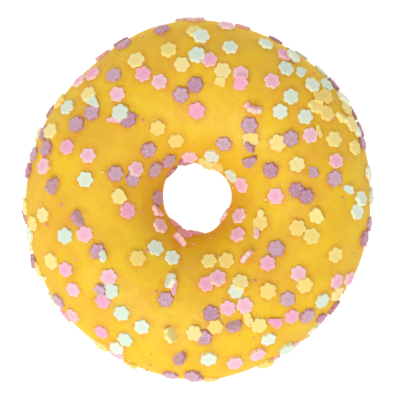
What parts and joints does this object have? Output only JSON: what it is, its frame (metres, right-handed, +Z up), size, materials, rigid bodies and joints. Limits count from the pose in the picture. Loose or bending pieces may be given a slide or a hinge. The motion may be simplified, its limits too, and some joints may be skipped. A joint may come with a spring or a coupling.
{
  "type": "doughnut",
  "caption": "Ring doughnut with a coat of yellow icing over its top and sides, strewn with small six-lobed sugar flowers.",
  "frame": {"origin": "on the underside, at the middle of the whole as seen from above", "axes": "+Z up through the hole, +Y along the longer side, +X across"},
  "size_m": [0.091, 0.0942, 0.0331],
  "materials": {
    "fried_dough": "dry browned crust with a paler band round the sides",
    "yellow_icing": "set satin icing, and in the plain model its sugar flowers too",
    "pink_sugar": "matt grainy pressed sugar, candy pink with a paler rim",
    "purple_sugar": "matt grainy pressed sugar, dusty purple with bright grains and a pink rim",
    "mint_sugar": "matt grainy pressed sugar, very pale mint",
    "yellow_sugar": "matt grainy pressed sugar, pale yellow"
  },
  "bodies": {
    "root": {"dough": "fried_dough", "icing": "yellow_icing"}
  },
  "joints": []
}
